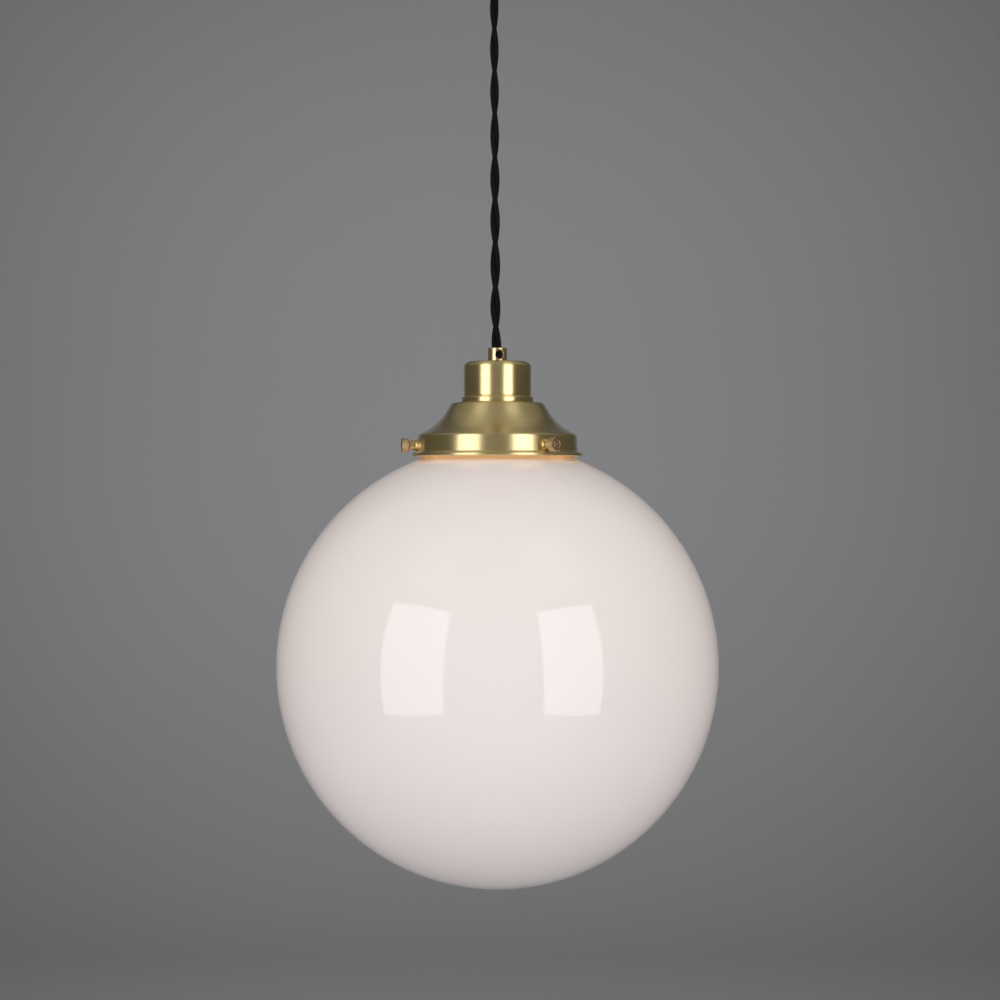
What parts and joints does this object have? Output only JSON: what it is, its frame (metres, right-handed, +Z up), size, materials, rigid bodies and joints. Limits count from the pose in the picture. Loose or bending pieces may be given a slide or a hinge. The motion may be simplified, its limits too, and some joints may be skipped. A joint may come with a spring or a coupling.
{
  "type": "pendant ceiling light",
  "caption": "Opal glass globe held by thumbscrews in a brass gallery under a brass lampholder cap, hung by black twisted braided flex from a small brass ceiling rose.",
  "frame": {"origin": "on the ceiling, in the middle of the bracket's top face, on the light's own axis", "axes": "+Z up, out of the bracket into the ceiling; -Y towards the front, the side with the front right thumbscrew and the clamping screws; +X to the right seen from the front"},
  "size_m": [0.3, 0.2998, 0.6505],
  "materials": {
    "brass": "lacquered, fine spun grain, satin",
    "raw_brass": "plain turned",
    "steel": "zinc plated",
    "dark_steel": "blackened",
    "bulb_metal": "rolled",
    "opal_glass": "opal, glossy outside",
    "clear_glass": "clear",
    "black_glass": "vitrite",
    "filament": "phosphor coat",
    "braid": "braided cotton",
    "porcelain": "unglazed",
    "bakelite": "moulded",
    "nylon": "translucent",
    "core_brown": "insulation",
    "core_blue": "insulation"
  },
  "bodies": {
    "rose": {"ceiling_bracket": "steel", "rose_cover": "brass", "rose_side_screws": "raw_brass", "rose_grip": "brass", "rose_grip_washer": "steel", "rose_grip_nut": "brass", "rose_grip_screw": "dark_steel", "terminal_block": "porcelain", "terminal_tubes": "raw_brass", "terminal_screws": "steel", "terminal_fixing_screw": "steel", "earth_screw": "raw_brass", "flex_clamped_end": "braid", "rose_live_core": "core_brown", "rose_neutral_core": "core_blue"},
    "flex_bush": {"flex_bush": "nylon"},
    "flex": {"flex": "braid"},
    "lamp": {"lamp_grip": "brass", "lamp_grip_screw": "dark_steel", "holder_cap": "brass", "gallery": "brass", "thumbscrew_bosses": "brass", "globe": "opal_glass", "lampholder_dome": "bakelite", "lampholder_insert": "porcelain", "lampholder_skirt": "bakelite", "shade_ring": "bakelite", "screw_shell": "raw_brass", "centre_contact": "raw_brass", "lampholder_screws": "steel", "lamp_live_core": "core_brown", "lamp_neutral_core": "core_blue"},
    "thumbscrew_1_tip": {"thumbscrew_1_tip": "nylon"},
    "thumbscrew_1": {"thumbscrew_1": "raw_brass"},
    "thumbscrew_2_tip": {"thumbscrew_2_tip": "nylon"},
    "thumbscrew_2": {"thumbscrew_2": "raw_brass"},
    "thumbscrew_3_tip": {"thumbscrew_3_tip": "nylon"},
    "thumbscrew_3": {"thumbscrew_3": "raw_brass"},
    "bulb_contact": {"bulb_contact": "bulb_metal"},
    "bulb": {"bulb_insulator": "black_glass", "bulb_cap": "bulb_metal", "bulb_glass": "clear_glass", "bulb_stem": "clear_glass", "bulb_wires": "steel", "bulb_filaments": "filament"}
  },
  "joints": [
    {"name": "swing_x", "type": "hinge", "parent": "rose", "child": "flex_bush", "pos_m": [0, 0, -0.0308], "axis": [1, 0, 0], "range_deg": [-25, 25]},
    {"name": "swing_y", "type": "hinge", "parent": "flex_bush", "child": "flex", "pos_m": [0, 0, -0.0308], "axis": [0, 1, 0], "range_deg": [-25, 25]},
    {"name": "lamp_twist", "type": "hinge", "parent": "flex", "child": "lamp", "pos_m": [0, 0, -0.292], "axis": [0, 0, 1], "range_deg": [-90, 90], "stiffness_Nm_per_rad": 0.01},
    {"name": "thumbscrew_1_travel", "type": "slide", "parent": "lamp", "child": "thumbscrew_1_tip", "axis": [0.5906, -0.807, 0], "range_m": [0, 0.006]},
    {"name": "thumbscrew_1_turn", "type": "hinge", "parent": "thumbscrew_1_tip", "child": "thumbscrew_1", "pos_m": [0.03721, -0.05084, -0.351], "axis": [0.5906, -0.807, 0], "range_deg": [0, 3086]},
    {"name": "thumbscrew_2_travel", "type": "slide", "parent": "lamp", "child": "thumbscrew_2_tip", "axis": [0.4035, 0.915, 0], "range_m": [0, 0.006]},
    {"name": "thumbscrew_2_turn", "type": "hinge", "parent": "thumbscrew_2_tip", "child": "thumbscrew_2", "pos_m": [0.02542, 0.05764, -0.351], "axis": [0.4035, 0.915, 0], "range_deg": [0, 3086]},
    {"name": "thumbscrew_3_travel", "type": "slide", "parent": "lamp", "child": "thumbscrew_3_tip", "axis": [-0.9942, -0.108, 0], "range_m": [0, 0.006]},
    {"name": "thumbscrew_3_turn", "type": "hinge", "parent": "thumbscrew_3_tip", "child": "thumbscrew_3", "pos_m": [-0.06263, -0.0068, -0.351], "axis": [-0.9942, -0.108, 0], "range_deg": [0, 3086]},
    {"name": "bulb_travel", "type": "slide", "parent": "lamp", "child": "bulb_contact", "axis": [0, 0, -1], "range_m": [0, 0.01633]},
    {"name": "bulb_turn", "type": "hinge", "parent": "bulb_contact", "child": "bulb", "pos_m": [0, 0, -0.34], "axis": [0, 0, -1], "range_deg": [0, 1620.5]}
  ],
  "couplings": [
    {"joint": "thumbscrew_1_turn", "follows": "thumbscrew_1_travel", "rad_per_m": 8976},
    {"joint": "thumbscrew_2_turn", "follows": "thumbscrew_2_travel", "rad_per_m": 8976},
    {"joint": "thumbscrew_3_turn", "follows": "thumbscrew_3_travel", "rad_per_m": 8976},
    {"joint": "bulb_turn", "follows": "bulb_travel", "rad_per_m": 1731.4}
  ]
}
